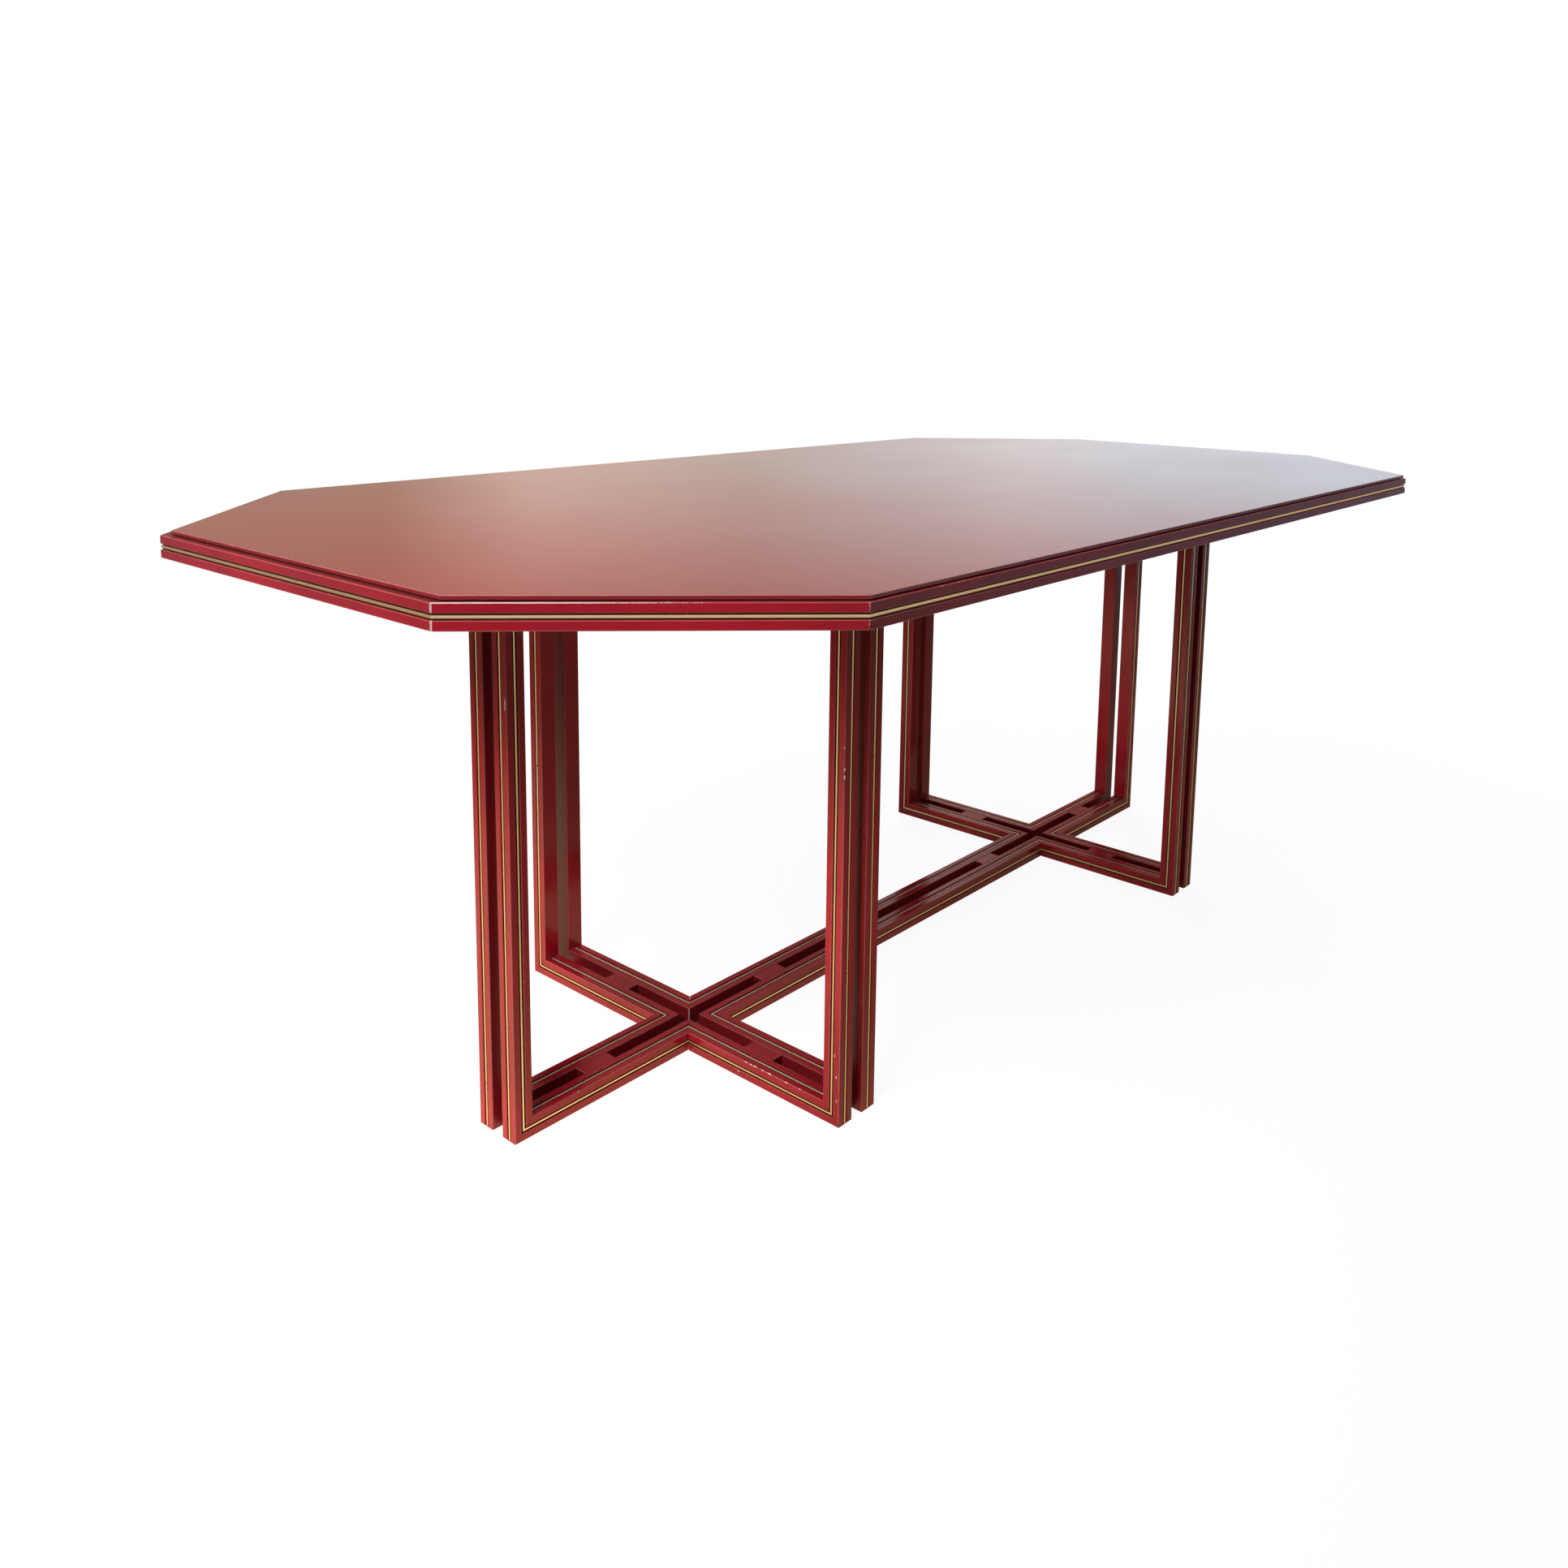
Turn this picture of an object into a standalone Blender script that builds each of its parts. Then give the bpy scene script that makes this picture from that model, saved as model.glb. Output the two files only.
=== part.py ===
import bpy
import bmesh
from math import pi, sqrt
from mathutils import Vector

# overall table, in metres
LENGTH = 2.05
WIDTH = 1.08
HEIGHT = 0.74
CORNER_CUT = 0.272

# square aluminium section shared by the edge frame and the base
PROFILE = 0.026
WALL = 0.0025
EDGE_EASE = 0.0007
GROOVE_WIDTH = 0.0066
GROOVE_DEPTH = 0.0022
GROOVE_LIP = 0.0006

# brass strips laid in the grooves, wider in the edge frame than in the base
EDGE_STRIP_WIDTH = 0.0029
BASE_STRIP_WIDTH = 0.0022
STRIP_THICKNESS = 0.0012

# plan of the base: how far the top stands out over the legs, and the arm to each end
FRAME_GAP = 0.019
END_OVERHANG = 0.245
SIDE_OVERHANG = 0.2375
END_ARM = 0.321

# spacer blocks in the channel, placed from the crossing centre
SPACER_LENGTH = 0.050
SPACER_RECESS = 0.0004
SPACER_EASE = 0.0005
SPACER_ON_LONG = 0.167
SPACER_ON_SIDE = 0.142

# top sheet, which lies a little off centre, and the board under it
PANEL_THICKNESS = 0.004
PANEL_INSET = 0.007
PANEL_SHIFT_X = 0.003
PANEL_SHIFT_Y = -0.003
PANEL_EASE = 0.0005
SHADOW_GAP = 0.001
CORE_THICKNESS = 0.018
CORE_EASE = 0.001

# clearance left between pieces that touch
JOINT_GAP = 0.0003

# heights and distances that follow from the sizes above
HALF = PROFILE / 2
PANEL_BOTTOM = HEIGHT - PANEL_THICKNESS
RAIL_TOP = PANEL_BOTTOM - SHADOW_GAP
CORE_TOP = PANEL_BOTTOM - JOINT_GAP
CORE_BOTTOM = CORE_TOP - CORE_THICKNESS
POST_TOP = CORE_BOTTOM - JOINT_GAP
END_REACH = LENGTH / 2 - END_OVERHANG
SIDE_REACH = WIDTH / 2 - SIDE_OVERHANG
CROSS_X = END_REACH - END_ARM
TWIN_OFFSET = FRAME_GAP / 2 + HALF
STRIP_SEAT = HALF - GROOVE_DEPTH + JOINT_GAP
STRIP_FACE = STRIP_SEAT + STRIP_THICKNESS

# faces of the section, in turning order about the run's direction
OUT, FOOT, BACK, HEAD = range(4)

# colour, roughness and metallic value of each finish
FINISHES = {
    "lacquer": ((0.36, 0.03, 0.05, 1.0), 0.35, 0.0),
    "top_lacquer": ((0.30, 0.035, 0.05, 1.0), 0.40, 0.0),
    "brass": ((0.72, 0.55, 0.25, 1.0), 0.30, 1.0),
    "board": ((0.13, 0.08, 0.055, 1.0), 0.80, 0.0),
}


def clear_scene():
    for old in list(bpy.data.objects):
        bpy.data.objects.remove(old)


def make_empty(name, parent=None, turn=0.0):
    empty = bpy.data.objects.new(name, None)
    empty.rotation_euler.z = turn
    empty.parent = parent
    bpy.context.scene.collection.objects.link(empty)
    return empty


def make_material(name, finish):
    colour, roughness, metallic = FINISHES[finish]
    material = bpy.data.materials.new(name + "_" + finish)
    material.use_nodes = True
    shader = material.node_tree.nodes["Principled BSDF"]
    shader.inputs["Base Color"].default_value = colour
    shader.inputs["Roughness"].default_value = roughness
    shader.inputs["Metallic"].default_value = metallic
    return material


def make_object(name, bm, origin, finish, parent):
    # the mesh is kept about its own origin, and the object carries its place
    bmesh.ops.recalc_face_normals(bm, faces=bm.faces[:])
    bmesh.ops.translate(bm, verts=bm.verts[:], vec=-origin)
    mesh = bpy.data.meshes.new(name)
    bm.to_mesh(mesh)
    bm.free()
    mesh.materials.append(make_material(name, finish))
    obj = bpy.data.objects.new(name, mesh)
    obj.location = origin
    obj.parent = parent
    bpy.context.scene.collection.objects.link(obj)
    return obj


def on_face(face, along, out):
    # a point of the section, given along a face and outwards from the centre line
    return ((out, along), (-along, out), (-out, -along), (along, -out))[face]


def groove_points(with_rib):
    mouth = GROOVE_WIDTH / 2 + GROOVE_LIP
    side = GROOVE_WIDTH / 2
    floor = HALF - GROOVE_DEPTH
    left = [(-mouth, HALF), (-side, HALF - GROOVE_LIP), (-side, floor)]
    if with_rib:
        left += [(-BASE_STRIP_WIDTH / 2, floor), (-BASE_STRIP_WIDTH / 2, STRIP_FACE)]
    return left + [(-along, out) for along, out in reversed(left)]


def tube_section(grooves, ribs=()):
    # the bore steps in behind each groove, so that the wall keeps its thickness
    outer = []
    bore = []
    inner = HALF - WALL
    step = GROOVE_WIDTH / 2 + WALL
    for face in (OUT, FOOT, BACK, HEAD):
        edge = [(EDGE_EASE - HALF, HALF)]
        hollow = []
        if face in grooves:
            edge += groove_points(face in ribs)
            hollow = [(-step, inner), (-step, inner - GROOVE_DEPTH)]
            hollow += [(step, inner - GROOVE_DEPTH), (step, inner)]
        edge.append((HALF - EDGE_EASE, HALF))
        hollow.append((inner, inner))
        outer += [on_face(face, along, out) for along, out in edge]
        bore += [on_face(face, along, out) for along, out in hollow]
    return [outer, bore]


def strip_section(face, width):
    side = width / 2
    box = [(-side, STRIP_SEAT), (side, STRIP_SEAT), (side, STRIP_FACE), (-side, STRIP_FACE)]
    return [on_face(face, along, out) for along, out in box]


def draw_loop(bm, points):
    corners = [bm.verts.new(point) for point in points]
    return [bm.edges.new(pair) for pair in zip(corners, corners[1:] + corners[:1])]


def draw_section(bm, loop, corner, run, out):
    # the section stands square to the run, with its first axis along the outer side
    foot = run.cross(out)
    return draw_loop(bm, [corner + out * n + foot * b for n, b in loop])


def slide_to_cut(verts, run, corner, cut):
    # move points along the run until they lie in the cutting plane through the corner
    for vert in verts:
        vert.co += run * ((corner - vert.co).dot(cut) / run.dot(cut))


def kind_of(geometry, kind):
    return [item for item in geometry if isinstance(item, kind)]


def directions(path, closed):
    ends = path[1:] + path[:1] if closed else path[1:]
    return [(b - a).normalized() for a, b in zip(path, ends)]


def mitre_cuts(path, closed):
    # square cuts at open ends, and the bisecting plane at every corner
    runs = directions(path, closed)
    cuts = []
    for i in range(len(path)):
        before = runs[i - 1] if i > 0 or closed else runs[0]
        after = runs[i] if i < len(runs) else runs[-1]
        cuts.append((before + after).normalized())
    return cuts


def tube(name, section, ends, cuts, out, parent):
    # fill the hollow section, extrude it, and cut both ends to their mitres
    run = (ends[1] - ends[0]).normalized()
    bm = bmesh.new()
    edges = []
    for loop in section:
        edges += draw_section(bm, loop, ends[0], run, out)
    bmesh.ops.triangle_fill(bm, edges=edges, use_beauty=True)
    near = bm.verts[:]
    grown = bmesh.ops.extrude_face_region(bm, geom=bm.faces[:])["geom"]
    slide_to_cut(near, run, ends[0], cuts[0])
    slide_to_cut(kind_of(grown, bmesh.types.BMVert), run, ends[1], cuts[1])
    return make_object(name, bm, ends[0], "lacquer", parent)


def mitred_run(names, path, outs, sections, parent, closed=False):
    # one tube for each leg of the path, parted by the joint gap at its mitres
    cuts = mitre_cuts(path, closed)
    for i, name in enumerate(names):
        j = (i + 1) % len(path)
        start = path[i]
        end = path[j]
        if closed or i > 0:
            start = start + cuts[i] * (JOINT_GAP / 2)
        if closed or j < len(path) - 1:
            end = end - cuts[j] * (JOINT_GAP / 2)
        tube(name, sections[i], (start, end), (cuts[i], cuts[j]), outs[i], parent)


def inlay(name, path, outs, face, width, parent, closed=False):
    # one brass strip extruded from corner to corner of its run
    runs = directions(path, closed)
    cuts = mitre_cuts(path, closed)
    bm = bmesh.new()
    front = draw_section(bm, strip_section(face, width), path[0], runs[0], outs[0])
    slide_to_cut(bm.verts, runs[0], path[0], cuts[0])
    for i, run in enumerate(runs):
        j = (i + 1) % len(path)
        grown = bmesh.ops.extrude_edge_only(bm, edges=front)["geom"]
        slide_to_cut(kind_of(grown, bmesh.types.BMVert), run, path[j], cuts[j])
        front = kind_of(grown, bmesh.types.BMEdge)
    if closed:
        bmesh.ops.remove_doubles(bm, verts=bm.verts[:], dist=JOINT_GAP / 10)
    else:
        bmesh.ops.holes_fill(bm, edges=bm.edges[:], sides=0)
    return make_object(name, bm, path[0], "brass", parent)


def slab(name, outline, bottom, top, ease, finish, parent):
    # extrude a flat outline and ease its upper and lower rims
    bm = bmesh.new()
    draw_loop(bm, [Vector((x, y, bottom)) for x, y in outline])
    bmesh.ops.contextual_create(bm, geom=bm.edges[:])
    grown = bmesh.ops.extrude_face_region(bm, geom=bm.faces[:])["geom"]
    rise = Vector((0.0, 0.0, top - bottom))
    bmesh.ops.translate(bm, verts=kind_of(grown, bmesh.types.BMVert), vec=rise)
    rims = [edge for edge in bm.edges if edge.verts[0].co.z == edge.verts[1].co.z]
    bmesh.ops.bevel(bm, geom=rims, offset=ease, segments=1, profile=0.5, affect="EDGES")
    middle = sum((Vector((x, y, bottom)) for x, y in outline), Vector()) / len(outline)
    return make_object(name, bm, middle, finish, parent)


def octagon(inset):
    long_half = LENGTH / 2 - inset
    wide_half = WIDTH / 2 - inset
    cut = CORNER_CUT - inset * (2 - sqrt(2))
    quarter = [(long_half - cut, -wide_half), (long_half, cut - wide_half)]
    right = quarter + [(x, -y) for x, y in reversed(quarter)]
    left = [(-x, -y) for x, y in right]
    return left[-1:] + right + left[:-1]


def build_panel(top):
    outline = [(x + PANEL_SHIFT_X, y + PANEL_SHIFT_Y) for x, y in octagon(PANEL_INSET)]
    slab("top_panel", outline, PANEL_BOTTOM, HEIGHT, PANEL_EASE, "top_lacquer", top)


def build_core(top):
    outline = octagon(PROFILE + JOINT_GAP)
    slab("top_core", outline, CORE_BOTTOM, CORE_TOP, CORE_EASE, "board", top)


def build_edge(top):
    path = [Vector((x, y, RAIL_TOP - HALF)) for x, y in octagon(HALF)]
    up = Vector((0.0, 0.0, 1.0))
    outs = [run.cross(up) for run in directions(path, True)]
    sides = ("front", "corner_rf", "end_r", "corner_rb", "back", "corner_lb", "end_l", "corner_lf")
    names = ["edge_rail_" + side for side in sides]
    mitred_run(names, path, outs, [tube_section((OUT,))] * len(names), top, True)
    inlay("edge_brass", path, outs, OUT, EDGE_STRIP_WIDTH, top, True)


def build_frame(name, plan, outs, members, parent):
    # down one post, along the bars on the floor, and up the other post
    feet = [Vector((x, y, HALF)) for x, y in plan]
    tops = [Vector((x, y, POST_TOP)) for x, y in (plan[0], plan[-1])]
    path = [tops[0]] + feet + [tops[1]]
    sides = [Vector((x, y, 0.0)) for x, y in outs]
    sides = [sides[0]] + sides + [sides[-1]]
    post = tube_section((OUT, FOOT), (FOOT,))
    bar = tube_section((OUT, HEAD))
    sections = [post] + [bar] * (len(feet) - 1) + [post]
    names = [name + "_" + member for member in members]
    mitred_run(names, path, sides, sections, parent)
    inlay(name + "_brass_side", path, sides, OUT, BASE_STRIP_WIDTH, parent)
    runs = directions(feet, False)
    trim = HALF + JOINT_GAP
    floor_run = [feet[0] + runs[0] * trim] + feet[1:-1] + [feet[-1] - runs[-1] * trim]
    inlay(name + "_brass_top", floor_run, sides[1:-1], HEAD, BASE_STRIP_WIDTH, parent)


def build_corner_frames(names, parent):
    # front frame from the end leg to the side leg, back frame the other way round
    end = END_REACH - HALF
    side = SIDE_REACH - HALF
    cross = CROSS_X + TWIN_OFFSET
    twin = TWIN_OFFSET
    front = [(-end, -twin), (-cross, -twin), (-cross, -side)]
    back = [(-cross, side), (-cross, twin), (-end, twin)]
    members = ["post_end", "bar_end", "bar_side", "post_side"]
    build_frame(names[0], front, [(0, -1), (-1, 0)], members, parent)
    build_frame(names[1], back, [(-1, 0), (0, 1)], members[::-1], parent)


def build_side_frame(name, parent):
    side = SIDE_REACH - HALF
    cross = CROSS_X - TWIN_OFFSET
    twin = TWIN_OFFSET
    plan = [(-cross, -side), (-cross, -twin), (cross, -twin), (cross, -side)]
    members = ["post_1", "bar_1", "bar_long", "bar_2", "post_2"]
    build_frame(name, plan, [(1, 0), (0, -1), (-1, 0)], members, parent)


def build_spacers(names, parent):
    # blocks that hold the twin frames apart, just below the tops of the bars
    long_half = SPACER_LENGTH / 2
    thin_half = FRAME_GAP / 2 - JOINT_GAP
    along_x = (long_half, thin_half)
    along_y = (thin_half, long_half)
    places = (
        (-CROSS_X - SPACER_ON_LONG, 0.0, along_x),
        (-CROSS_X + SPACER_ON_LONG, 0.0, along_x),
        (-CROSS_X, -SPACER_ON_SIDE, along_y),
        (-CROSS_X, SPACER_ON_SIDE, along_y),
    )
    bottom = SPACER_RECESS
    top = PROFILE - SPACER_RECESS
    for name, (x, y, (dx, dy)) in zip(names, places):
        outline = [(x - dx, y - dy), (x + dx, y - dy), (x + dx, y + dy), (x - dx, y + dy)]
        slab("spacer_" + name, outline, bottom, top, SPACER_EASE, "lacquer", parent)


def build_base():
    # the right half repeats the left one, turned half a turn about the upright axis
    base = make_empty("base")
    halves = (
        ("l", 0.0, ("lf", "lb"), "f", ("end_l", "stretcher_l", "side_lf", "side_lb")),
        ("r", pi, ("rb", "rf"), "b", ("end_r", "stretcher_r", "side_rb", "side_rf")),
    )
    for half, turn, corners, side, spacers in halves:
        parent = make_empty("base_half_" + half, base, turn)
        build_corner_frames(["corner_" + corner for corner in corners], parent)
        build_side_frame("side_" + side, parent)
        build_spacers(spacers, parent)


def build_top():
    top = make_empty("top")
    build_panel(top)
    build_core(top)
    build_edge(top)


clear_scene()
build_top()
build_base()
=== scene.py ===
import math

import bmesh
import bpy
from mathutils import Matrix, Vector


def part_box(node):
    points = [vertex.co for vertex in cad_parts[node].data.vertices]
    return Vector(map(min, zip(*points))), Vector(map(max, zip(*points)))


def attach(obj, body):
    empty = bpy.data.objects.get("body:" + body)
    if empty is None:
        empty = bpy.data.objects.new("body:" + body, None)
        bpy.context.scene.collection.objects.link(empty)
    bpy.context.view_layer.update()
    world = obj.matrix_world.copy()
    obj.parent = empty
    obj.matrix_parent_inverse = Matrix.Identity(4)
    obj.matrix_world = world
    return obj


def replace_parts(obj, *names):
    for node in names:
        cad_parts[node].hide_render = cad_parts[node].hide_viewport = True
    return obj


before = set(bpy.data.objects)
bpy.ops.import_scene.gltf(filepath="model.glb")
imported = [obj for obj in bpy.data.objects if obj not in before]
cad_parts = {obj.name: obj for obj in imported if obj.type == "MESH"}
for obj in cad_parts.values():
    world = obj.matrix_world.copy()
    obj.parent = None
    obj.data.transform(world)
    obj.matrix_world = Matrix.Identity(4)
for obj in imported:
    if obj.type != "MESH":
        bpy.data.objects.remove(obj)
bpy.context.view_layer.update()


# Posts and bars of the base. Square aluminium tube, mitred and joined into six frames
# that stand back to back, ground flush at the mitres and sprayed in crimson lacquer.
# The grooves for the brass are drawn in the section and hold old polish and dirt; they, and the inner
# faces toward the channel between the frames, are darkened with painted shade.
class Wire:
    """One output of a node tree, which can be used in plain sums."""

    def __init__(self, tree, socket=None):
        self.tree = tree
        self.socket = socket

    def node(self, kind, settings, sockets, output=0):
        made = self.tree.nodes.new("ShaderNode" + kind)
        for key, value in settings.items():
            if key == "stops":
                ramp = made.color_ramp
                while len(ramp.elements) < len(value):
                    ramp.elements.new(1.0)
                for stop, (place, colour) in zip(ramp.elements, value):
                    stop.position = place
                    stop.color = colour
            else:
                setattr(made, key, value)
        for key, value in sockets.items():
            if isinstance(value, Wire):
                self.tree.links.new(value.socket, made.inputs[key])
            else:
                made.inputs[key].default_value = value
        return Wire(self.tree, made.outputs[output] if made.outputs else None)

    def sum(self, operation, *values):
        return self.node("Math", {"operation": operation}, dict(enumerate(values)))

    def __add__(self, other):
        return self.sum("ADD", self, other)

    __radd__ = __add__

    def __sub__(self, other):
        return self.sum("SUBTRACT", self, other)

    def __rsub__(self, other):
        return self.sum("SUBTRACT", other, self)

    def __mul__(self, other):
        return self.sum("MULTIPLY", self, other)

    __rmul__ = __mul__

    def __abs__(self):
        return self.sum("ABSOLUTE", self)

    def least(self, other):
        return self.sum("MINIMUM", self, other)

    def most(self, other):
        return self.sum("MAXIMUM", self, other)

    def rise(self, low, high):
        return self.node("MapRange", {"interpolation_type": "SMOOTHSTEP"}, {0: self, 1: low, 2: high})

    def tint(self, zero, one):
        return self.node("Mix", {"data_type": "RGBA"}, {0: self, 6: zero, 7: one}, 2)

    def along(self, axis):
        return self.node("VectorMath", {"operation": "DOT_PRODUCT"}, {0: self, 1: axis}, "Value")

    def length(self):
        return self.node("VectorMath", {"operation": "LENGTH"}, {0: self}, "Value")

    def from_point(self, point):
        return self.node("VectorMath", {"operation": "SUBTRACT"}, {0: self, 1: point})

    def stretch(self, sizes):
        return self.node("VectorMath", {"operation": "MULTIPLY"}, {0: self, 1: sizes})

    def noise(self, scale, detail=2.0):
        return self.node("TexNoise", {}, {"Vector": self, "Scale": scale, "Detail": detail})

    def bump(self, strength, distance):
        return self.node("Bump", {}, {"Strength": strength, "Distance": distance, "Height": self})


def new_finish(name):
    material = bpy.data.materials.new(name)
    material.use_nodes = True
    material.node_tree.nodes.clear()
    wire = Wire(material.node_tree)
    return material, wire.node("TexCoord", {}, {}, "Object")


def surface(place, sockets):
    shader = place.node("BsdfPrincipled", {}, sockets)
    place.node("OutputMaterial", {}, {"Surface": shader})


def dress(node, material):
    node.data.materials.clear()
    node.data.materials.append(material)


UP = Vector((0.0, 0.0, 1.0))
TUBE_HALF = 0.013
GROOVE_LIP = 0.0036
CROSSING = 0.459
BESIDE_CHANNEL = 0.04
LACQUER_SHEEN = 0.33
CRIMSON_DEEP = (0.325, 0.0075, 0.0190, 1.0)
CRIMSON_BRIGHT = (0.500, 0.0120, 0.0310, 1.0)
CRIMSON_RUBBED_AND_HIGHLIT = (0.58, 0.150, 0.175, 1.0)
GRIME_AND_SHADE = (0.034, 0.014, 0.009, 1.0)
PRIMER = (0.82, 0.76, 0.72, 1.0)
KNOCKS = {
    "corner_lf_post_end": [((-0.7801, -0.0327, 0.5453), (0.002, 0.0007, 0.0080))],
    "corner_lf_post_side": [
        ((-0.4945, -0.3015, 0.4870), (0.002, 0.0008, 0.0014)),
        ((-0.4945, -0.3024, 0.4602), (0.002, 0.0012, 0.0022)),
        ((-0.4945, -0.3022, 0.4505), (0.002, 0.0008, 0.0030)),
        ((-0.4945, -0.2942, 0.0930), (0.002, 0.0007, 0.0014)),
        ((-0.4945, -0.2979, 0.0657), (0.002, 0.0008, 0.0018)),
        ((-0.4945, -0.2985, 0.0345), (0.002, 0.0007, 0.0012)),
    ],
    "corner_lf_bar_side": [
        ((-0.4945, -0.1440, 0.0260), (0.0010, 0.0030, 0.0010)),
        ((-0.4945, -0.1532, 0.0260), (0.0009, 0.0026, 0.0012)),
        ((-0.4945, -0.1600, 0.0260), (0.0012, 0.0042, 0.0011)),
        ((-0.4945, -0.1740, 0.0260), (0.0009, 0.0032, 0.0010)),
        ((-0.4945, -0.1857, 0.0260), (0.0012, 0.0046, 0.0010)),
        ((-0.4945, -0.2155, 0.0260), (0.0010, 0.0028, 0.0009)),
        ((-0.4945, -0.2385, 0.0260), (0.0009, 0.0020, 0.0009)),
        ((-0.4945, -0.1312, 0.0074), (0.0020, 0.0010, 0.0010)),
    ],
    # The two marks at the crossing give a pale line down the inner corner of the twin frames.
    "side_b_bar_long": [((-0.4494, 0.0094, 0.0170), (0.0014, 0.0014, 0.0120))],
    "side_b_bar_2": [((-0.4494, 0.0094, 0.0170), (0.0014, 0.0014, 0.0120))],
    "edge_rail_front": [((0.6695, -0.5401, 0.7166), (0.0026, 0.0020, 0.0036))],
}


def knocks(place, name):
    """Marks where single knocks have gone through to the primer."""
    ragged = 1.2 * place.noise(800.0, 3.0)
    marks = 0.0 * ragged
    for point, (wide, deep, tall) in KNOCKS.get(name, []):
        away = place.from_point(point).stretch((1 / wide, 1 / deep, 1 / tall)).length()
        marks = marks.most((away + ragged).rise(1.65, 1.45))
    return marks


def crimson_lacquer(place, run, painted_light, edge, seam_and_glint, grime_and_shade):
    """Sprayed crimson: cloudy, painted lighter by a share that stands in for light, rubbed and given a
    painted highlight at the edges, cracked to the primer, with a painted glint in the primer colour
    where one is passed in, and grimy and darkened with painted shade in hollows.
    """
    cloud = place.noise(6.0)
    patches = place.noise(17.0)
    grain = place.noise(420.0, 3.0)
    hairs = place.stretch([1 - 0.97 * abs(part) for part in run]).noise(900.0)
    scratch = hairs.rise(0.74, 0.78) * patches.rise(0.5, 0.62)
    chip = (grain + 0.6 * patches).rise(1.06, 1.09) * edge
    # The crack mask also carries any painted glint, shown in the primer colour.
    crack_and_glint = seam_and_glint * (place.noise(500.0) + 0.5 * patches + 0.5 * seam_and_glint).rise(0.85, 1.10)
    specks = place.noise(170.0).rise(0.815, 0.83)
    bare_and_glint = chip.most(crack_and_glint).most(specks)
    # Painted light: the tone is made lighter by the given share, standing in for light.
    tone = 0.6 * (0.7 * cloud + 0.3 * patches).rise(0.36, 0.66) + 0.4 * painted_light
    tone = tone.tint(CRIMSON_DEEP, CRIMSON_BRIGHT)
    # Edges and groove lips are rubbed and carry a painted highlight.
    worn = (0.55 * edge + 0.2 * scratch).tint(tone, CRIMSON_RUBBED_AND_HIGHLIT)
    # Grime and painted shade darken the hollows.
    dirty_and_shaded = grime_and_shade.tint(worn, GRIME_AND_SHADE)
    peel = place.noise(330.0) + 1.5 * bare_and_glint
    surface(place, {
        "Base Color": bare_and_glint.tint(dirty_and_shaded, PRIMER),
        "Roughness": 0.10 + 0.10 * cloud + 0.25 * scratch + 0.35 * grime_and_shade + 0.4 * bare_and_glint,
        "Specular IOR Level": LACQUER_SHEEN,
        "Normal": peel.bump(0.06, 0.0003),
    })


def mitre_seams(place, node, run, first, last):
    """Lines along the two cut ends of a tube, each as strong as the lacquer has cracked there."""
    seams = 0.0 * place.along(run)
    for way, cracked in ((-run, first), (run, last)):
        cut = [face for face in node.data.polygons if face.normal.dot(way) > 0.5]
        square = max(cut, key=lambda face: face.center.dot(way))
        off = abs(place.from_point(square.center).along(square.normal))
        seams = seams.most(cracked * off.rise(0.0017, 0.0006))
    return seams


def dress_tube(node, middle, run, out, painted_light, channel_shade, under_sheet_shade, cracked, bare_and_glint=0.0):
    """Lacquers a tube, given its centre line and its outer side, a share by which it is painted lighter
    in place of light, the painted shade of its inner face and of its top under the top sheet, how far
    its mitres have cracked, and the length of a painted glint along its upper outer edge.
    """
    material, place = new_finish(node.name + "_lacquer")
    from_line = place.from_point(middle)
    outward = from_line.along(out)
    upward = from_line.along(UP)
    side = abs(outward)
    face = abs(from_line.along(run.cross(out)))
    # Painted shade: the groove, which also holds dirt, and the inner face toward the channel are
    # darkened.
    groove_dirt_and_shade = 0.88 * (1 - side.most(face).rise(TUBE_HALF - 0.0014, TUBE_HALF - 0.0006))
    inner_shade = channel_shade * (-1 * outward).rise(TUBE_HALF - 0.0016, TUBE_HALF - 0.0004)
    # Painted shade on the top of a rail under the top sheet.
    ledge_shade = under_sheet_shade * upward.rise(TUBE_HALF - 0.0012, TUBE_HALF - 0.0004)
    ledge_shade = ledge_shade * outward.rise(TUBE_HALF - 0.0010, TUBE_HALF - 0.0035)
    edge = side.least(face).rise(TUBE_HALF - 0.0014, TUBE_HALF - 0.0005)
    shown = outward.rise(TUBE_HALF - 0.0012, TUBE_HALF - 0.0006)
    # Painted highlight along the lips of the groove.
    lip_highlight = abs(face - GROOVE_LIP).rise(0.0007, 0.0002) * shown
    seam_and_glint = knocks(place, node.name).most(shown * mitre_seams(place, node, run, *cracked))
    # Painted glint: a pale line along the upper outer edge, fading over the given length, shown in the
    # primer colour.
    if bare_and_glint:
        start = min(vertex.co.dot(run) for vertex in node.data.vertices)
        stretch = place.along(run).rise(start + bare_and_glint, start + bare_and_glint / 3)
        seam_and_glint = seam_and_glint.most(edge * stretch * upward.rise(0.0, 0.002) * outward.rise(0.0, 0.002))
    crimson_lacquer(place, run, painted_light, edge.most(0.8 * lip_highlight), seam_and_glint, groove_dirt_and_shade.most(inner_shade).most(ledge_shade))
    dress(node, material)


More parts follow.
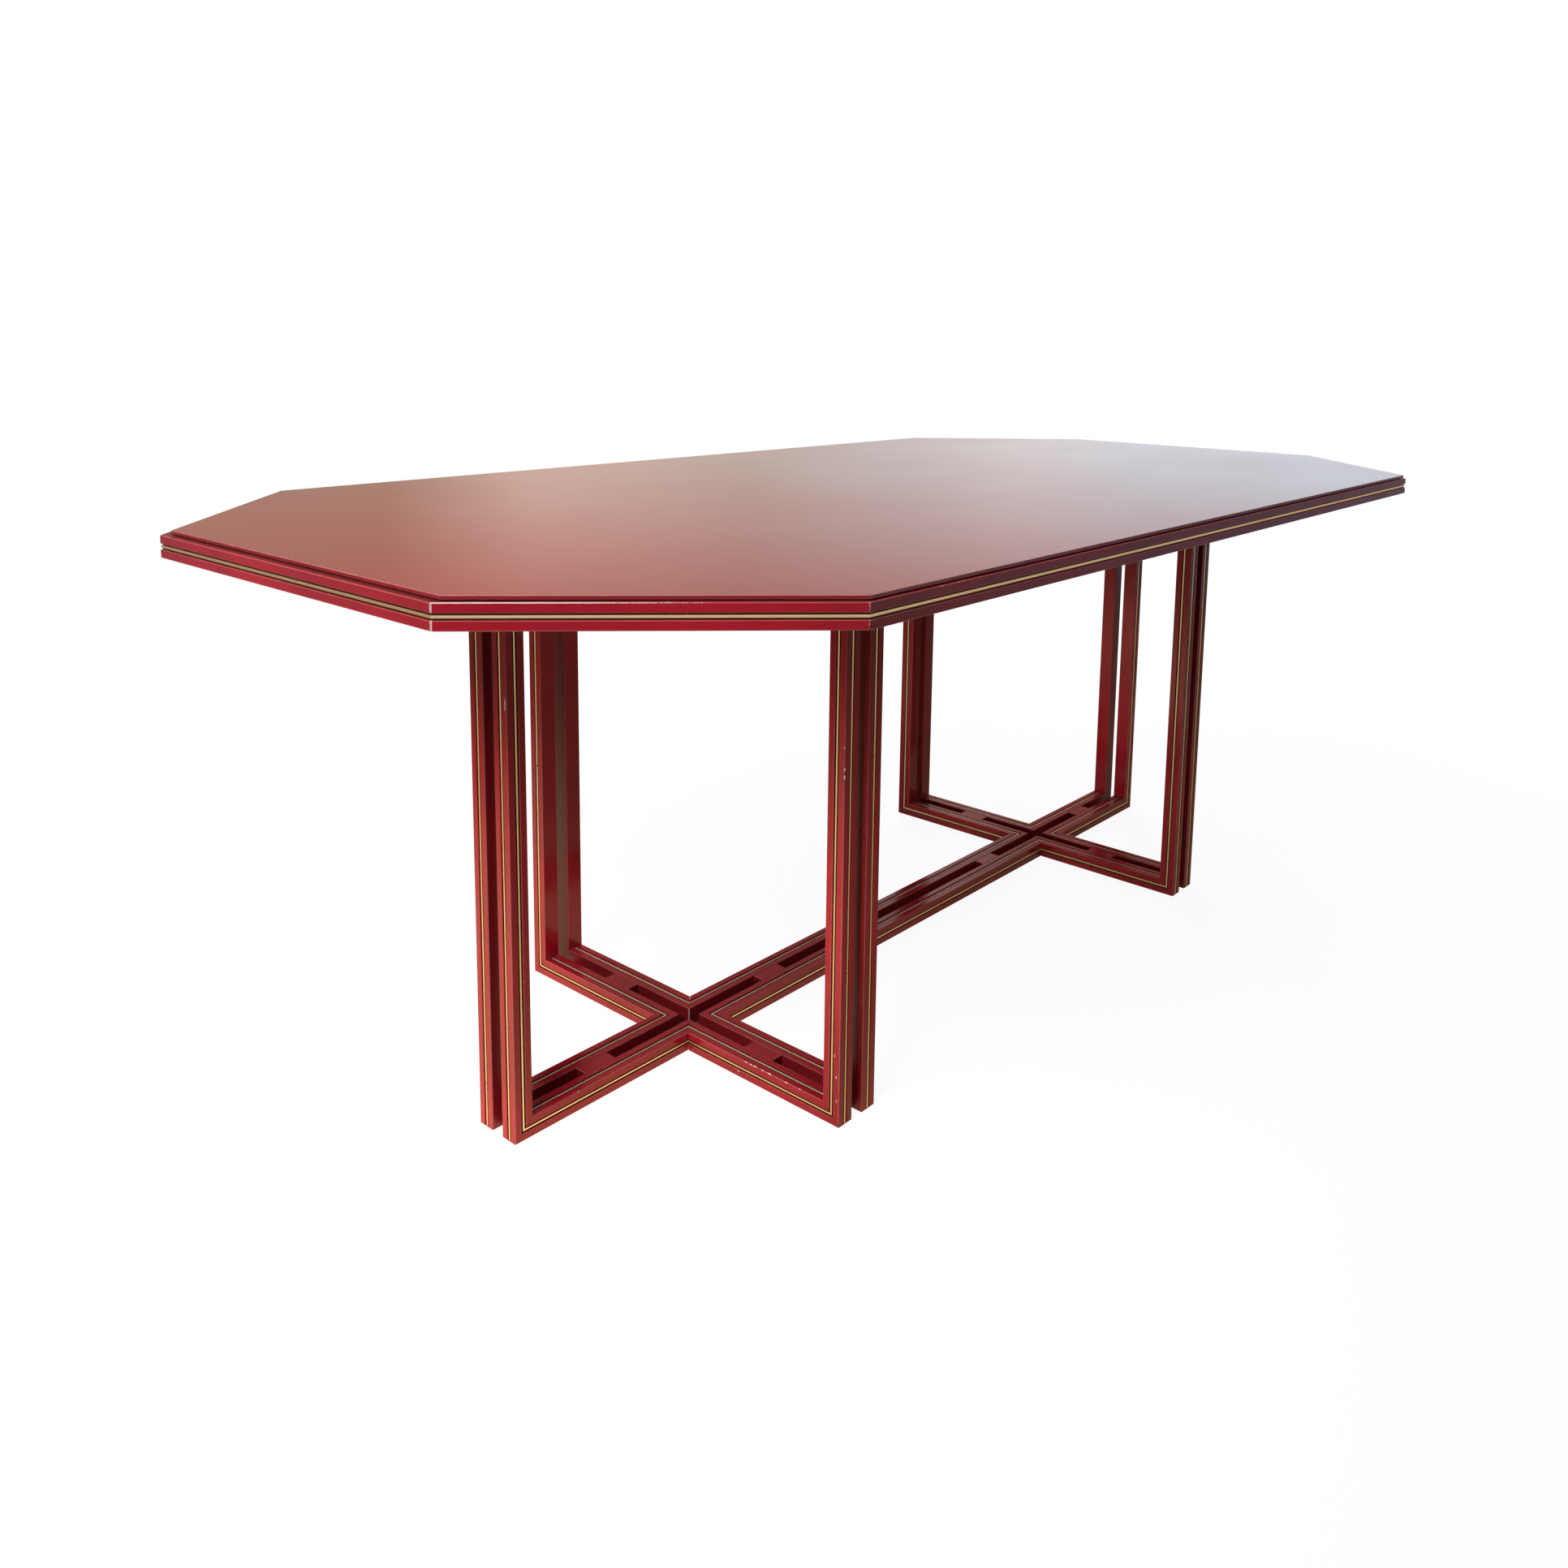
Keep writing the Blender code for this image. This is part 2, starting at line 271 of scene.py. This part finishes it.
for name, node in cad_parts.items():
    if "_post_" in name or "_bar_" in name:
        low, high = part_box(name)
        middle, size = (low + high) / 2, high - low
        longest = max(range(3), key=lambda i: size[i])
        run = Vector([float(i == longest) for i in range(3)])
        if abs(middle.y) < BESIDE_CHANNEL:
            out = Vector((0.0, math.copysign(1.0, middle.y), 0.0))
        else:
            beyond = middle.x - math.copysign(CROSSING, middle.x)
            out = Vector((math.copysign(1.0, beyond), 0.0, 0.0))
        dress_tube(node, middle, run, out, painted_light=0.0, channel_shade=0.40, under_sheet_shade=0.0, cracked=(0.0, 0.0))


# Brass lines of the base. Drawn brass strip, a little over 1 mm thick and slightly
# rounded, glued into the grooves on the outer sides and tops of the frames and bent
# round their corners; bright on the sides, dusty on top, and dull in patches.
BRASS_CLEAN = (1.0, 0.80, 0.47, 1.0)
BRASS_DUSTY = (0.84, 0.74, 0.54, 1.0)
BRASS_DULL = (0.86, 0.66, 0.37, 1.0)
BRASS_TARNISH = (0.20, 0.13, 0.07, 1.0)
EDGE_ROUNDING = 0.00055
WELD_WITHIN = 0.00001
FLAT_WITHIN = 0.01
SHARP_OVER = 0.5


def brass(name, clean, rough, dusty):
    """Drawn brass, from bright to dull, with a share of dust lying on it."""
    material, place = new_finish(name)
    patch = place.noise(14.0, 3.0)
    grain = place.noise(260.0)
    dull = (patch + 0.4 * grain).rise(0.68, 1.0)
    spots = (grain + 0.5 * patch).rise(0.98, 1.06)
    worn = dull.tint(clean, BRASS_DULL)
    surface(place, {
        "Base Color": spots.tint(worn, BRASS_TARNISH),
        "Metallic": 1 - dusty * (0.5 + 0.8 * grain),
        "Roughness": rough + 0.14 * dull + 0.2 * spots,
        "Normal": place.noise(1400.0).bump(0.12, 0.0001),
    })
    return material


def brass_piece(name, bm, finish):
    """Makes a piece of brass from its mesh."""
    bmesh.ops.recalc_face_normals(bm, faces=bm.faces[:])
    mesh = bpy.data.meshes.new(name)
    bm.to_mesh(mesh)
    bm.free()
    piece = bpy.data.objects.new(name, mesh)
    bpy.context.scene.collection.objects.link(piece)
    dress(piece, finish)
    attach(piece, "root")
    return piece


def rounded_strip(name, finish):
    """A drawn strip with rounded edges, which stands for the square strip of the solids."""
    bm = bmesh.new()
    bm.from_mesh(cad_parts[name].data)
    bmesh.ops.remove_doubles(bm, verts=bm.verts[:], dist=WELD_WITHIN)
    bmesh.ops.dissolve_limit(bm, angle_limit=FLAT_WITHIN, verts=bm.verts[:], edges=bm.edges[:])
    sharp = [edge for edge in bm.edges if edge.calc_face_angle(0.0) > SHARP_OVER]
    bmesh.ops.bevel(
        bm, geom=sharp, offset=EDGE_ROUNDING, segments=3, profile=0.5,
        affect="EDGES", clamp_overlap=True,
    )
    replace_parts(brass_piece(name.replace("brass", "strip"), bm, finish), name)


base_brass = brass("base_brass", BRASS_CLEAN, rough=0.45, dusty=0.0)
dusty_brass = brass("dusty_brass", BRASS_DUSTY, rough=0.40, dusty=0.5)
for name in list(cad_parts):
    if name.endswith("_brass_side"):
        rounded_strip(name, base_brass)
    elif name.endswith("_brass_top"):
        rounded_strip(name, dusty_brass)


# Brass lines up the outer end face of each post: the same strip, let into the
# groove of the post and cut off flush with the foot.
STRIP_WIDTH = 0.0024
STRIP_FACE = 0.01245
STRIP_BED = 0.0109
STRIP_EASE = 0.0006
STRIP_FOOT = 0.0008
STRIP_SHORT = 0.001


def post_line(name, foot, out, top):
    """A brass strip up a post, given the middle of its foot and the way its end faces."""
    across = UP.cross(out)
    half = STRIP_WIDTH / 2
    turns = [math.radians(angle) for angle in (0, 30, 60, 90)]
    round_side = [
        (
            half - STRIP_EASE + STRIP_EASE * math.cos(turn),
            STRIP_FACE - STRIP_EASE + STRIP_EASE * math.sin(turn),
        )
        for turn in turns
    ]
    other_side = [(-aside, forth) for aside, forth in reversed(round_side)]
    section = [(-half, STRIP_BED), (half, STRIP_BED)] + round_side + other_side
    bm = bmesh.new()
    ring = [bm.verts.new(foot + across * aside + out * forth) for aside, forth in section]
    flat = bm.faces.new(ring)
    risen = bmesh.ops.extrude_face_region(bm, geom=[flat])["geom"]
    upper = [item for item in risen if isinstance(item, bmesh.types.BMVert)]
    bmesh.ops.translate(bm, verts=upper, vec=UP * (top - foot.z))
    brass_piece(name, bm, base_brass)


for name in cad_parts:
    if "_post_" in name:
        low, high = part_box(name)
        foot = Vector(((low.x + high.x) / 2, (low.y + high.y) / 2, STRIP_FOOT))
        if "post_end" in name:
            out = Vector((math.copysign(1.0, foot.x), 0.0, 0.0))
        else:
            out = Vector((0.0, math.copysign(1.0, foot.y), 0.0))
        post_line(name.replace("post", "line"), foot, out, high.z - STRIP_SHORT)


# Spacer blocks. Short blocks screwed between the twin frames, flush with the tops of
# the bars and sprayed together with them.
for name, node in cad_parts.items():
    if name.startswith("spacer_"):
        low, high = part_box(name)
        half = (high - low) / 2
        run = Vector((1.0, 0.0, 0.0)) if half.x > half.y else Vector((0.0, 1.0, 0.0))
        material, place = new_finish(name + "_lacquer")
        from_middle = place.from_point((low + high) / 2)
        reach = half.dot(run)
        lengthwise = abs(from_middle.along(run)).rise(reach - 0.0012, reach - 0.0004)
        upper = from_middle.along(UP).rise(half.z - 0.0012, half.z - 0.0004)
        # Below their tops the blocks are darkened with painted shade between the frames.
        crimson_lacquer(
            place, run, painted_light=0.0, edge=lengthwise * upper, seam_and_glint=0.0 * upper, grime_and_shade=0.55 * (1 - upper)
        )
        dress(node, material)


# Core board. A fibre board inside the edge frame, which carries the top sheet and
# takes the fixings of the posts; it is coloured a dark red brown.
BOARD_BROWN = (0.140, 0.082, 0.056, 1.0)
BOARD_DARK = (0.085, 0.050, 0.036, 1.0)
board, place = new_finish("fibre_board")
fibre = place.noise(260.0, 4.0)
shade = 0.6 * fibre + 0.4 * place.noise(4.0)
surface(place, {
    "Base Color": shade.rise(0.3, 0.7).tint(BOARD_DARK, BOARD_BROWN),
    "Roughness": 0.6 + 0.2 * fibre,
    "Normal": fibre.bump(0.3, 0.0005),
})
dress(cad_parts["top_core"], board)


# Edge frame. Eight lengths of the same tube, mitred round the board; the lacquer has
# cracked and chipped away along the mitres at the near corner.
for name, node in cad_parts.items():
    if name.startswith("edge_rail_"):
        low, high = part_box(name)
        middle, size = (low + high) / 2, high - low
        if "corner" in name:
            out = Vector((math.copysign(1.0, middle.x), math.copysign(1.0, middle.y), 0.0))
            out = out.normalized()
            reach = max(vertex.co.dot(out) for vertex in node.data.vertices)
            middle = out * (reach - TUBE_HALF) + UP * middle.z
        elif size.y > size.x:
            out = Vector((math.copysign(1.0, middle.x), 0.0, 0.0))
        else:
            out = Vector((0.0, math.copysign(1.0, middle.y), 0.0))
        run = UP.cross(out)
        # The rails are painted lighter in place of light, the near corner rail most; their tops under
        # the top sheet carry painted shade, and the near corner rail has a painted glint along its
        # upper outer edge, given the primer colour.
        if name.endswith("corner_lf"):
            dress_tube(
                node, middle, run, out, painted_light=1.0, channel_shade=0.0, under_sheet_shade=0.7, cracked=(1.0, 0.5), bare_and_glint=0.30
            )
        else:
            dress_tube(node, middle, run, out, painted_light=0.3, channel_shade=0.0, under_sheet_shade=0.7, cracked=(0.4, 0.5))


# Brass line of the edge frame. The same drawn strip, glued into the groove of all eight
# rails and bent round their mitred corners.
rounded_strip("edge_brass", brass("edge_brass", BRASS_CLEAN, rough=0.48, dusty=0.0))


# Top sheet. A thin sheet sprayed in the same crimson and laid on the board a little
# inside the edge frame; its gloss is fine, with faint wipe marks and rubbed edges that also carry a
# painted highlight.
TOP_DEEP = (0.285, 0.0085, 0.0180, 1.0)
TOP_BRIGHT = (0.335, 0.0105, 0.0220, 1.0)
TOP_RUBBED_AND_HIGHLIT = (0.60, 0.30, 0.31, 1.0)
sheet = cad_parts["top_panel"]
top, place = new_finish("top_lacquer")
low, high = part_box("top_panel")
middle, half = (low + high) / 2, (high - low) / 2
rim = max(vertex.co.x + vertex.co.y - middle.x - middle.y for vertex in sheet.data.vertices)
from_middle = place.from_point(middle)
wide = abs(from_middle.along((1.0, 0.0, 0.0)))
deep = abs(from_middle.along((0.0, 1.0, 0.0)))
tall = abs(from_middle.along(UP))
inset = (wide - half.x).most(deep - half.y).most((wide + deep - rim) * math.sqrt(0.5))
edge = inset.rise(-0.0011, -0.0003) * tall.rise(half.z - 0.0009, half.z - 0.0003)
cloud = place.noise(2.2)
wipes = place.stretch((1.0, 2.5, 1.0)).noise(2.5, 2.0)
dust = place.noise(900.0).rise(0.76, 0.80)
tone = cloud.rise(0.3, 0.7).tint(TOP_DEEP, TOP_BRIGHT)
rubbed_and_highlit = (edge * (0.35 + 0.5 * place.noise(90.0))).tint(tone, TOP_RUBBED_AND_HIGHLIT)
surface(place, {
    "Base Color": (0.10 * dust).tint(rubbed_and_highlit, PRIMER),
    "Roughness": 0.12 + 0.05 * cloud + 0.03 * wipes + 0.2 * edge,
    "Normal": place.noise(450.0).bump(0.02, 0.0003),
})
dress(sheet, top)


# Stage: a round pale floor that glows with a painted pool of light for all rays but the camera's,
# brightest and warmest at the near end of the table; a soft sky that is dim and warm to the left and
# cool and bright to the right, a large soft lamp at each end and two low ones for the near legs. The
# floor has painted shade in the slots under the base, glows a little more where metal mirrors it, and
# is clear from below.
FLOOR_REACH = 3.2
FLOOR_DROP = 0.0006
FLOOR_PALE = (0.93, 0.93, 0.93, 1.0)
FLOOR_SHADED = (0.16, 0.16, 0.16, 1.0)
SLOT_DARK = (0.05, 0.018, 0.016, 1.0)
WHITE = (1.0, 1.0, 1.0, 1.0)
POOL_MIDDLE = (-1.03, 0.30, 0.0)
POOL_FAR = 4.0
SLOT_HALF = 0.0125
SLOT_REACH = (0.765, 0.285)
FLOOR_POOL = [
    (0.0, (1.30, 1.04, 0.66, 1.0)),
    (0.35, (1.26, 1.00, 0.64, 1.0)),
    (0.75, (0.60, 0.47, 0.32, 1.0)),
    (1.15, (0.15, 0.12, 0.09, 1.0)),
    (1.7, (0.09, 0.08, 0.075, 1.0)),
    (POOL_FAR, (0.06, 0.06, 0.07, 1.0)),
]
FLOOR_GLEAM = (0.24, 0.18, 0.10, 1.0)
floor_mesh = bpy.data.meshes.new("floor")
bm = bmesh.new()
bmesh.ops.create_circle(bm, cap_ends=True, segments=96, radius=FLOOR_REACH)
bmesh.ops.translate(bm, verts=bm.verts[:], vec=-FLOOR_DROP * UP)
bm.to_mesh(floor_mesh)
bm.free()
floor = bpy.data.objects.new("floor", floor_mesh)
bpy.context.scene.collection.objects.link(floor)
pale, place = new_finish("pale_floor")
# The floor glows with a painted pool of light for rays other than the camera's.
away = place.from_point(POOL_MIDDLE).length() * (1 / POOL_FAR)
stops = [(far / POOL_FAR, colour) for far, colour in FLOOR_POOL]
glow = away.node("ValToRGB", {"stops": stops}, {0: away})
wide = abs(place.along((1.0, 0.0, 0.0)))
deep = abs(place.along((0.0, 1.0, 0.0)))
# Painted shade on the floor in the slots under the base.
lengthwise = (deep - SLOT_HALF).most(wide - SLOT_REACH[0])
crosswise = (abs(wide - CROSSING) - SLOT_HALF).most(deep - SLOT_REACH[1])
slot = 1 - lengthwise.least(crosswise).rise(-0.001, 0.0)
outer = place.length().rise(1.2, 3.0)
seen = place.node("LightPath", {}, {}, "Is Camera Ray")
shine = place.node("Emission", {}, {"Color": slot.tint(glow, GRIME_AND_SHADE)})
bright = outer.tint(FLOOR_PALE, WHITE)
white = place.node("Emission", {}, {"Color": slot.tint(bright, SLOT_DARK)})
trace = place.node("BsdfDiffuse", {}, {"Color": slot.tint(FLOOR_SHADED, GRIME_AND_SHADE)})
pale_white = place.node("AddShader", {}, {0: white, 1: trace})
mirrored = place.node("LightPath", {}, {}, "Is Glossy Ray")
mirrored = mirrored.most(place.node("LightPath", {}, {}, "Is Transmission Ray"))
# Painted gleam: the floor glows more for rays mirrored off metal.
gleam = place.node("Emission", {}, {"Color": slot.tint(FLOOR_GLEAM, GRIME_AND_SHADE)})
brighter = place.node("AddShader", {}, {0: shine, 1: gleam})
unseen = place.node("MixShader", {}, {0: mirrored, 1: shine, 2: brighter})
upper_side = place.node("MixShader", {}, {0: seen, 1: unseen, 2: pale_white})
beneath = place.node("NewGeometry", {}, {}, "Backfacing")
clear = place.node("BsdfTransparent", {}, {})
both_sides = place.node("MixShader", {}, {0: beneath, 1: upper_side, 2: clear})
place.node("OutputMaterial", {}, {"Surface": both_sides})
dress(floor, pale)

world = bpy.data.worlds.new("soft_sky")
bpy.context.scene.world = world
world.use_nodes = True
world.node_tree.nodes.clear()
sky = Wire(world.node_tree)
way = sky.node("TexCoord", {}, {}, "Generated")
turn = way.sum("ARCTAN2", way.along((0.0, 1.0, 0.0)), way.along((1.0, 0.0, 0.0)))
SKY_ROUND = [
    (-180, (0.25, 0.24, 0.24, 1.0)),
    (-150, (0.22, 0.22, 0.24, 1.0)),
    (-128, (0.26, 0.25, 0.26, 1.0)),
    (-90, (0.45, 0.42, 0.40, 1.0)),
    (-40, (0.66, 0.62, 0.66, 1.0)),
    (-29, (0.34, 0.32, 0.40, 1.0)),
    (-15, (0.20, 0.20, 0.28, 1.0)),
    (6, (1.02, 1.20, 1.40, 1.0)),
    (27, (1.14, 1.32, 1.42, 1.0)),
    (32, (1.30, 1.32, 1.35, 1.0)),
    (37, (1.06, 1.12, 1.12, 1.0)),
    (44, (0.92, 0.87, 0.77, 1.0)),
    (53, (1.20, 0.98, 0.82, 1.0)),
    (59, (0.60, 0.48, 0.34, 1.0)),
    (75, (0.50, 0.44, 0.34, 1.0)),
    (108, (0.24, 0.24, 0.28, 1.0)),
    (121, (0.34, 0.33, 0.36, 1.0)),
    (126, (0.12, 0.12, 0.12, 1.0)),
    (150, (0.12, 0.12, 0.12, 1.0)),
    (180, (0.25, 0.24, 0.24, 1.0)),
]
SKY_CLOUD = (0.62, 0.50, 0.44, 1.0)
SKY_HAZE = (0.52, 0.26, 0.20, 1.0)
SKY_WINDOW = (1.15, 0.95, 1.00, 1.0)
SKY_ABOVE = (1.30, 1.30, 1.34, 1.0)
SKY_FRONT = (1.05, 0.92, 0.76, 1.0)
SKY_SCREEN = (3.4, 4.3, 5.6, 1.0)
FILL_LOW = (0.035, 0.033, 0.033, 1.0)
FILL_HIGH = (0.15, 0.15, 0.16, 1.0)
AHEAD = (0.766, 0.643, 0.0)
stops = [(angle / 360 + 0.5, colour) for angle, colour in SKY_ROUND]
ring = way.node("ValToRGB", {"stops": stops}, {0: turn * (0.5 / math.pi) + 0.5})
height = way.along(UP)
cloudy = way.noise(1.4).tint(ring, SKY_CLOUD)
ring = (0.5 * way.noise(2.5).rise(0.35, 0.75)).tint(ring, cloudy)
haze = height.rise(0.07, 0.29).tint(ring, SKY_HAZE)
window = turn.rise(math.radians(31), math.radians(33)) * turn.rise(math.radians(39), math.radians(37.5))
window = window * height.rise(0.34, 0.37) * height.rise(0.50, 0.45)
haze = window.tint(haze, SKY_WINDOW)
dome = height.rise(0.55, 0.80).tint(haze, SKY_ABOVE)
front = way.along(AHEAD).rise(0.25, 0.0) * height.rise(0.03, 0.16)
dome = front.tint(dome, SKY_FRONT)
screen = turn.rise(math.radians(-162), math.radians(-150))
screen = screen * turn.rise(math.radians(-134), math.radians(-138))
screen = screen * height.rise(-0.06, -0.03) * height.rise(0.075, 0.045)
dome = screen.tint(dome, SKY_SCREEN)
shade = height.rise(-0.1, 0.7).tint(FILL_LOW, FILL_HIGH)
backdrop = sky.node("Background", {}, {"Color": dome, "Strength": 1.0})
fill = sky.node("Background", {}, {"Color": shade, "Strength": 1.0})
plain = sky.node("Background", {}, {"Color": WHITE, "Strength": 1.0})
mirrored = sky.node("LightPath", {}, {}, "Is Glossy Ray")
mirrored = mirrored.most(sky.node("LightPath", {}, {}, "Is Transmission Ray"))
around = sky.node("MixShader", {}, {0: mirrored, 1: fill, 2: backdrop})
seen = sky.node("LightPath", {}, {}, "Is Camera Ray")
whole = sky.node("MixShader", {}, {0: seen, 1: around, 2: plain})
sky.node("OutputWorld", {}, {"Surface": whole})


def soft_lamp(name, place, target, size, power, colour, spread):
    lamp = bpy.data.lights.new(name, "AREA")
    lamp.shape = "RECTANGLE"
    lamp.size, lamp.size_y = size
    lamp.energy = power
    lamp.color = colour
    lamp.spread = math.radians(spread)
    holder = bpy.data.objects.new(name, lamp)
    holder.location = place
    holder.rotation_euler = (Vector(target) - Vector(place)).to_track_quat("-Z", "Y").to_euler()
    holder.visible_camera = False
    holder.visible_glossy = False
    bpy.context.scene.collection.objects.link(holder)


soft_lamp(
    "end_lamp", (-2.4, -0.30, 2.0), (-0.90, -0.04, 0.44),
    size=(1.6, 1.2), power=8.6, colour=(1.0, 0.94, 0.88), spread=58.0,
)
soft_lamp(
    "low_lamp", (-2.0, 0.35, 0.10), (-0.8, 0.1, 0.08),
    size=(0.7, 0.16), power=0.28, colour=(1.0, 0.90, 0.74), spread=36.0,
)
soft_lamp(
    "leg_lamp", (-2.6, -1.0, 0.55), (-0.46, -0.28, 0.30),
    size=(0.4, 0.3), power=0.28, colour=(1.0, 0.93, 0.84), spread=14.0,
)
soft_lamp(
    "back_lamp", (2.6, 2.4, 2.6), (0.0, 0.0, 0.4),
    size=(2.4, 2.4), power=60.0, colour=(0.94, 0.97, 1.0), spread=180.0,
)


# Camera: at standing height close to one corner of the table, as in the photograph.
IMAGE = 1932
FOCAL = 1620.1083
CENTRE = (1010.0377, 651.2475)
SPOT = Vector((-1.6554, -1.2503, 0.9701))
HEADING, DIP, ROLL = (math.radians(angle) for angle in (40.515, 8.411, 0.83))
level = Vector((math.cos(HEADING), math.sin(HEADING), 0.0))
ahead = math.cos(DIP) * level - math.sin(DIP) * UP
right = Vector((math.sin(HEADING), -math.cos(HEADING), 0.0))
above = right.cross(ahead)
camera_x = math.cos(ROLL) * right + math.sin(ROLL) * above
camera_y = math.cos(ROLL) * above - math.sin(ROLL) * right
lens = bpy.data.cameras.new("camera")
lens.sensor_width = 36.0
lens.lens = FOCAL / IMAGE * lens.sensor_width
lens.shift_x = (IMAGE / 2 - CENTRE[0]) / IMAGE
lens.shift_y = (CENTRE[1] - IMAGE / 2) / IMAGE
lens.clip_start = 0.05
camera = bpy.data.objects.new("camera", lens)
axes = Matrix((camera_x, camera_y, -ahead)).transposed().to_4x4()
camera.matrix_world = Matrix.Translation(SPOT) @ axes
bpy.context.scene.collection.objects.link(camera)
bpy.context.scene.camera = camera
bpy.context.scene.view_settings.view_transform = "Standard"
